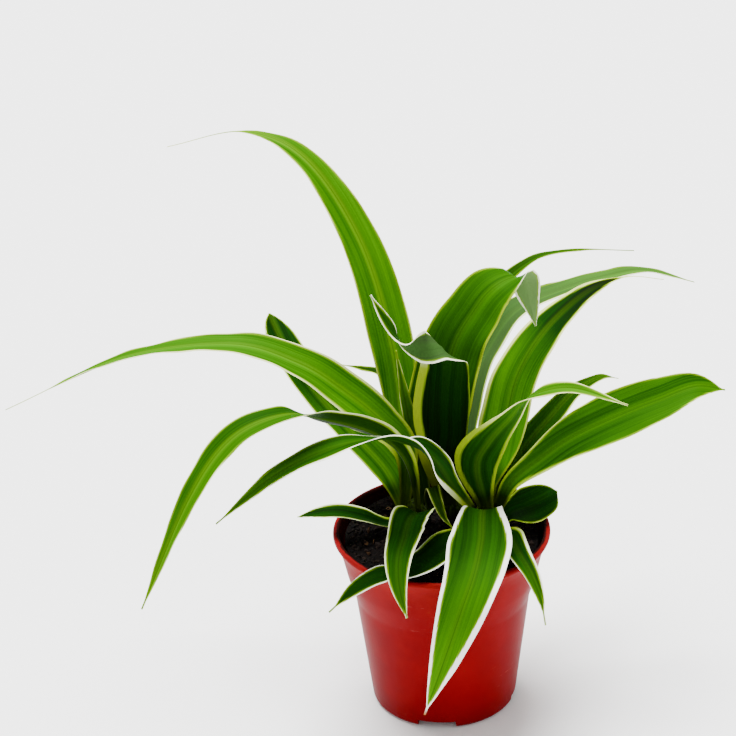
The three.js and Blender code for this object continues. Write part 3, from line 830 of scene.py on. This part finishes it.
def make_leaf(name, leaf, material, number):
    """A fine blade with a channel, a creased midrib, thin wavering edges and a pointed tip."""
    places = np.linspace(0, 1, STEPS_ALONG + 1)
    share = np.sin(np.linspace(-math.pi / 2, math.pi / 2, STEPS_ACROSS + 1))[None, :]
    point, across, upper, length = blade_frames(leaf, places)
    width = blade_width(leaf, places)
    run = (places * length)[:, None]
    x, lift = blade_section(leaf, number, places, share, width, run)
    thick = blade_thickness(share, width)
    vertices = []
    for face in (1, -1):
        rise = lift + face * thick / 2
        grid = (point[:, None, :] + across[:, None, :] * x[:, :, None]
                + upper[:, None, :] * rise[:, :, None])
        vertices.append(grid.reshape(-1, 3))
    made = make_object(name + "_blade", np.vstack(vertices) * MM, blade_faces(), material)
    paint_blade(made.data, leaf, number, places, share, width, x, run)
    settle(made, name)


def outer_radius(height):
    """Radius of the pot's outer wall at a height, in millimetres."""
    return float(np.interp(height, [0, STEP_HEIGHT, COLLAR_HEIGHT, FLARE_HEIGHT],
                           [BASE_RADIUS, STEP_RADIUS, COLLAR_RADIUS, FLARE_RADIUS]))


def pot_profile():
    """The pot's section, from the axis up the outside, over the lip and down the inside."""
    def inside(height):
        return outer_radius(height) - WALL
    foot = [(0, 0), (BASE_RADIUS - BASE_ROUNDING, 0), (BASE_RADIUS, BASE_ROUNDING)]
    step = [(outer_radius(height), height)
            for height in (STEP_HEIGHT - STEP_BLEND, COLLAR_HEIGHT + STEP_BLEND)]
    flare = [(FLARE_RADIUS, FLARE_HEIGHT),
             (FLARE_RADIUS + FLARE_SPREAD, FLARE_HEIGHT + FLARE_BEND)]
    lip = [(RIM_RADIUS - LIP_FOOT_INSET, POT_HEIGHT - LIP_FOOT_DROP),
           (RIM_RADIUS, POT_HEIGHT - LIP_SIDE_DROP),
           (RIM_RADIUS - LIP_OUTER_BEVEL, POT_HEIGHT),
           (RIM_RADIUS - LIP_WIDTH + LIP_INNER_BEVEL, POT_HEIGHT),
           (RIM_RADIUS - LIP_WIDTH, POT_HEIGHT - LIP_INNER_DROP)]
    inner_flare = [(inside(FLARE_HEIGHT) + INNER_FLARE_SPREAD, FLARE_HEIGHT + FLARE_BEND)]
    inner_wall = [(inside(height), height)
                  for height in (FLARE_HEIGHT, COLLAR_HEIGHT, STEP_HEIGHT, FLOOR)]
    return foot + step + flare + lip + inner_flare + inner_wall + [(0, FLOOR)]


def rounded(profile, radius, steps=4):
    """Rounds the corners of a profile of points that runs from axis to axis."""
    made = [profile[0]]
    for before, corner, after in zip(profile, profile[1:], profile[2:]):
        corner = Vector(corner)
        back, on = Vector(before) - corner, Vector(after) - corner
        reach = min(radius, back.length * 0.45, on.length * 0.45)
        start = corner + back.normalized() * reach
        end = corner + on.normalized() * reach
        for k in range(steps + 1):
            w = k / steps
            made.append(tuple(start * (1 - w) ** 2 + corner * 2 * w * (1 - w) + end * w ** 2))
    made.append(profile[-1])
    return made


def circle(radius, height, sides):
    """Points in a ring about Z."""
    turns = [2 * math.pi * k / sides for k in range(sides)]
    return [(radius * math.cos(turn), radius * math.sin(turn), height) for turn in turns]


def ring_faces(rings, sides, downward=False):
    """Faces between a first point on the axis, the rings over it and a last point on the axis."""
    faces = []
    last_ring = 1 + (rings - 1) * sides
    for k in range(sides):
        following = (k + 1) % sides
        faces.append((0, 1 + following, 1 + k))
        for ring in range(rings - 1):
            a = 1 + ring * sides
            faces.append((a + k, a + following, a + sides + following, a + sides + k))
        faces.append((last_ring + k, last_ring + following, last_ring + sides))
    if downward:
        faces = [(face[0], *reversed(face[1:])) for face in faces]
    return faces


def turned(name, profile, sides, material):
    """Turns a closed profile that starts and ends on the axis about Z."""
    vertices = [(0, 0, profile[0][1])]
    for radius, height in profile[1:-1]:
        vertices += circle(radius, height, sides)
    vertices.append((0, 0, profile[-1][1]))
    return make_object(name, np.array(vertices) * MM, ring_faces(len(profile) - 2, sides),
                       material)


def pocket_body(name, shape, angle):
    """A body for one drainage pocket, turned to its angle, that joins or cuts the pot."""
    mesh = bpy.data.meshes.new(name)
    body = bmesh.new()
    shape(body)
    bmesh.ops.rotate(body, verts=body.verts, matrix=Matrix.Rotation(angle, 3, "Z"))
    body.to_mesh(mesh)
    body.free()
    made = bpy.data.objects.new(name, mesh)
    bpy.context.scene.collection.objects.link(made)
    return made


def combine(target, other, operation):
    """Joins or cuts with another object and removes it."""
    modifier = target.modifiers.new("cut", "BOOLEAN")
    modifier.operation = operation
    modifier.solver = "EXACT"
    modifier.object = other
    bpy.context.view_layer.objects.active = target
    bpy.ops.object.modifier_apply(modifier=modifier.name)
    mesh = other.data
    bpy.data.objects.remove(other)
    bpy.data.meshes.remove(mesh)


def pocket_cover(body):
    """The raised lid over a pocket, curved like the pot's wall outside."""
    start = POCKET_INNER_RADIUS - WALL
    side = POCKET_WIDTH / 2 + WALL
    outer = BASE_RADIUS - COVER_OVERLAP
    reach = math.asin(side / outer)
    plan = [(start, side), (start, -side)]
    for k in range(COVER_STEPS + 1):
        turn = reach * (2 * k / COVER_STEPS - 1)
        plan.append((outer * math.cos(turn), outer * math.sin(turn)))
    rings = []
    for height in (FLOOR - COVER_OVERLAP, POCKET_HEIGHT + WALL):
        rings.append([body.verts.new(Vector((x, y, height)) * MM) for x, y in plan])
    body.faces.new(reversed(rings[0]))
    body.faces.new(rings[1])
    for k in range(len(plan)):
        following = (k + 1) % len(plan)
        body.faces.new((rings[0][k], rings[0][following], rings[1][following], rings[1][k]))


def pocket_space(body):
    """The hollow of a pocket, a block that runs out through the wall and the foot."""
    side = POCKET_WIDTH / 2
    low = (POCKET_INNER_RADIUS, -side, -POCKET_HEIGHT)
    high = (BASE_RADIUS + POCKET_OVERSHOOT, side, POCKET_HEIGHT)
    made = bmesh.ops.create_cube(body, size=1.0)
    for vertex in made["verts"]:
        vertex.co = Vector([(high[k] if vertex.co[k] > 0 else low[k]) * MM for k in range(3)])


def drain_rod(body):
    """An upright rod that cuts the round hole through the lid of a pocket."""
    made = bmesh.ops.create_cone(body, segments=32, radius1=DRAIN_HOLE_RADIUS * MM,
                                 radius2=DRAIN_HOLE_RADIUS * MM, depth=4 * POCKET_HEIGHT * MM,
                                 cap_ends=True)
    away = (POCKET_INNER_RADIUS + BASE_RADIUS) / 2
    bmesh.ops.translate(body, verts=made["verts"], vec=(away * MM, 0, POCKET_HEIGHT * MM))


def make_pot(material):
    """Thin moulded pot with a rounded lip, a collar and drainage pockets at the foot."""
    pot = turned("pot_shell", rounded(pot_profile(), CORNER_ROUNDING), POT_SIDES, material)
    angles = [math.radians(POCKET_FIRST_ANGLE + number * 360 / POCKET_COUNT)
              for number in range(POCKET_COUNT)]
    for angle in angles:
        combine(pot, pocket_body("cover", pocket_cover, angle), "UNION")
    for angle in angles:
        combine(pot, pocket_body("space", pocket_space, angle), "DIFFERENCE")
        combine(pot, pocket_body("rod", drain_rod, angle), "DIFFERENCE")
    bpy.context.view_layer.objects.active = pot
    pot.select_set(True)
    bpy.ops.object.shade_smooth_by_angle(angle=math.radians(POT_SHARP_ANGLE))
    pot.select_set(False)
    settle(pot, "pot")


def soil_edge():
    """Radius of the soil at its top, in millimetres."""
    return outer_radius(SOIL_TOP) - WALL - SOIL_GAP


def soil_height(x, y):
    """Height of the soil's surface in millimetres."""
    radius = math.hypot(x, y)
    angle = math.atan2(y, x)
    share = radius / soil_edge()
    dome = SOIL_MOUND * (1 - share ** 2)
    bumps = math.sin(0.35 * radius + 3 * angle) + math.cos(0.21 * radius - 5 * angle)
    return SOIL_TOP + dome + SOIL_BUMP * bumps * share * (1.2 - share)


def make_soil(material):
    """Crumbled soil surface over the fill that the pot hides."""
    edge = soil_edge()
    vertices = [(0, 0, soil_height(0, 0))]
    for ring in range(1, SOIL_RINGS + 1):
        radius = edge * ring / SOIL_RINGS
        calm = min(1, (edge - radius) / SOIL_CALM_EDGE)
        for x, y, _ in circle(radius, 0, SOIL_SIDES):
            rough = noise.fractal(Vector((x, y, 0)) * SOIL_GRAIN, 0.9, 2.1, 4) * SOIL_ROUGHNESS
            vertices.append((x, y, soil_height(x, y) + rough * calm))
    heights = (FLARE_HEIGHT, COLLAR_HEIGHT, STEP_HEIGHT, SOIL_FOOT)
    for height in heights:
        vertices += circle(outer_radius(height) - WALL - SOIL_GAP, height, SOIL_SIDES)
    vertices.append((0, 0, heights[-1]))
    faces = ring_faces(SOIL_RINGS + len(heights), SOIL_SIDES, downward=True)
    soil = make_object("soil_surface", np.array(vertices) * MM, faces, material)
    settle(soil, "soil")


def lump(rng, size, flat):
    """Points and faces of one small irregular crumb around the origin."""
    body = bmesh.new()
    bmesh.ops.create_icosphere(body, subdivisions=1, radius=1)
    angle = rng.uniform(0, math.pi)
    axis = Vector((rng.gauss(0, 1), rng.gauss(0, 1), rng.gauss(0, 1) + 0.01))
    turn = Matrix.Rotation(angle, 3, axis)
    stretch = (rng.uniform(0.8, 1.5), rng.uniform(0.6, 1.0), flat * rng.uniform(0.7, 1.1))
    for vertex in body.verts:
        jag = 1 + rng.uniform(-0.28, 0.28)
        vertex.co = turn @ Vector([vertex.co[k] * stretch[k] * size * jag for k in range(3)])
    points = [v.co.copy() for v in body.verts]
    faces = [tuple(v.index for v in f.verts) for f in body.faces]
    body.free()
    return points, faces


def lies_free(x, y, size):
    """True where a lump of that size touches neither the pot nor a crown."""
    if math.hypot(x, y) + size * LUMP_REACH > soil_edge():
        return False
    return all(math.hypot(x - crown["x"], y - crown["y"]) >= crown["neck"] + size
               for crown in CROWNS.values())


def scatter(name, material, count, sizes, flat, rise, seed):
    """Loose pieces that lie on the soil, made as one mesh.

    flat is their height as a share of their size, and rise is how much of it lifts their middle
    over the soil.
    """
    rng = random.Random(seed)
    vertices, faces, own = [], [], []
    while count > 0:
        angle = rng.uniform(0, 2 * math.pi)
        radius = soil_edge() * math.sqrt(rng.random())
        size = rng.uniform(*sizes) * rng.uniform(0.6, 1.0)
        x, y = radius * math.cos(angle), radius * math.sin(angle)
        if not lies_free(x, y, size):
            continue
        points, sides = lump(rng, size, flat)
        centre = Vector((x, y, soil_height(x, y) + size * flat * rise))
        start = len(vertices)
        vertices += [(point + centre) * MM for point in points]
        faces += [tuple(start + k for k in side) for side in sides]
        own += [rng.random()] * len(points)
        count -= 1
    made = make_object(name, vertices, faces, material, smooth=False)
    add_attribute(made.data, "own", "FLOAT", own)
    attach(made, "root")


def crown_profile(neck):
    """A crown's section, from its foot in the soil, straight up and then drawn in to the top."""
    foot = SOIL_TOP - CROWN_DEPTH
    straight = SOIL_TOP + CROWN_STRAIGHT
    shoulder = CROWN_TOP - CROWN_SHOULDER
    tip = CROWN_TOP - CROWN_TIP_DROP
    return [(0, foot), (neck * 0.8, foot), (neck, SOIL_TOP), (neck, SOIL_TOP + CROWN_RING),
            (neck, straight), (neck * 0.9, (straight + shoulder) / 2), (neck * 0.75, shoulder),
            (neck * 0.35, tip), (0, tip)]


def make_crown(name, spec, material):
    """Short stem of tightly wrapped leaf bases, ribbed and drawn in at the top."""
    profile = rounded(crown_profile(spec["neck"]), 2.0)
    crown = turned(name + "_bases", profile, CROWN_SIDES, material)
    for vertex in crown.data.vertices:
        angle = math.atan2(vertex.co.y, vertex.co.x)
        phase = CROWN_RIBS * angle + vertex.co.z * CROWN_RIB_TWIST + spec["x"]
        draw = 1 - CROWN_RIB_DEPTH * (0.5 + 0.5 * math.cos(phase))
        vertex.co.x = vertex.co.x * draw + spec["x"] * MM
        vertex.co.y = vertex.co.y * draw + spec["y"] * MM
    settle(crown, name)


def make_floor(material):
    """Wide pale floor."""
    low, high = -FLOOR_HALF, FLOOR_HALF
    corners = [(low, low, 0), (high, low, 0), (high, high, 0), (low, high, 0)]
    make_object("floor", corners, [(0, 1, 2, 3)], material, smooth=False)


def make_lights():
    """Soft white studio: an even surround and broad light from overhead and a little behind."""
    world = bpy.data.worlds.new("studio")
    bpy.context.scene.world = world
    world.use_nodes = True
    background = world.node_tree.nodes["Background"]
    background.inputs[0].default_value = (1, 1, 1, 1)
    background.inputs[1].default_value = SURROUND_STRENGTH
    data = bpy.data.lights.new("overhead", "SUN")
    data.energy = SUN_STRENGTH
    data.angle = math.radians(SUN_SPREAD)
    lamp = bpy.data.objects.new("overhead", data)
    lamp.rotation_euler = Vector(SUN_DIRECTION).to_track_quat("-Z", "Y").to_euler()
    bpy.context.scene.collection.objects.link(lamp)


def make_camera():
    """Camera at the photograph's angle, with its slight roll."""
    elevation = math.radians(CAMERA_ELEVATION)
    back = Vector((0, -math.cos(elevation), math.sin(elevation)))
    right = Vector((1, 0, 0))
    up = back.cross(right)
    turn = math.radians(CAMERA_ROLL)
    rolled = math.cos(turn) * right + math.sin(turn) * up
    above = -math.sin(turn) * right + math.cos(turn) * up
    data = bpy.data.cameras.new("camera")
    data.lens = CAMERA_LENS
    data.sensor_width = CAMERA_SENSOR
    data.clip_end = CAMERA_REACH
    camera = bpy.data.objects.new("camera", data)
    place = Vector(LOOK_AT) + back * CAMERA_DISTANCE
    rotation = Matrix((rolled, above, back)).transposed().to_4x4()
    camera.matrix_world = Matrix.Translation(place) @ rotation
    bpy.context.scene.collection.objects.link(camera)
    bpy.context.scene.camera = camera


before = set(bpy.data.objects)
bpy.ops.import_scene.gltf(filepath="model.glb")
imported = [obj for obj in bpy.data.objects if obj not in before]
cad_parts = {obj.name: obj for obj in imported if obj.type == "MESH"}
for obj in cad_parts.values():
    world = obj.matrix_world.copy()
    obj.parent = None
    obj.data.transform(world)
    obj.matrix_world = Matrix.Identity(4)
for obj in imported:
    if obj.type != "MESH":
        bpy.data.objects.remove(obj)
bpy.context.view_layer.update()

make_camera()
make_lights()
make_floor(floor_material())
make_pot(pot_material())
make_soil(soil_material())
scatter("soil_crumb_bits", crumb_material("soil_crumbs", CRUMB_DARK, CRUMB_LIGHT),
        CRUMB_COUNT, CRUMB_SIZES, flat=0.8, rise=0.2, seed=3)
scatter("soil_bark_chips", crumb_material("bark_chips", BARK_DARK, BARK_LIGHT),
        CHIP_COUNT, CHIP_SIZES, flat=0.3, rise=0.9, seed=8)
crown_skin = crown_material()
for crown_name, crown_spec in CROWNS.items():
    make_crown(crown_name, crown_spec, crown_skin)
leaf_skin = leaf_material()
for leaf_number, (leaf_name, leaf_spec) in enumerate(LEAVES.items(), 1):
    make_leaf(leaf_name, leaf_spec, leaf_skin, leaf_number)
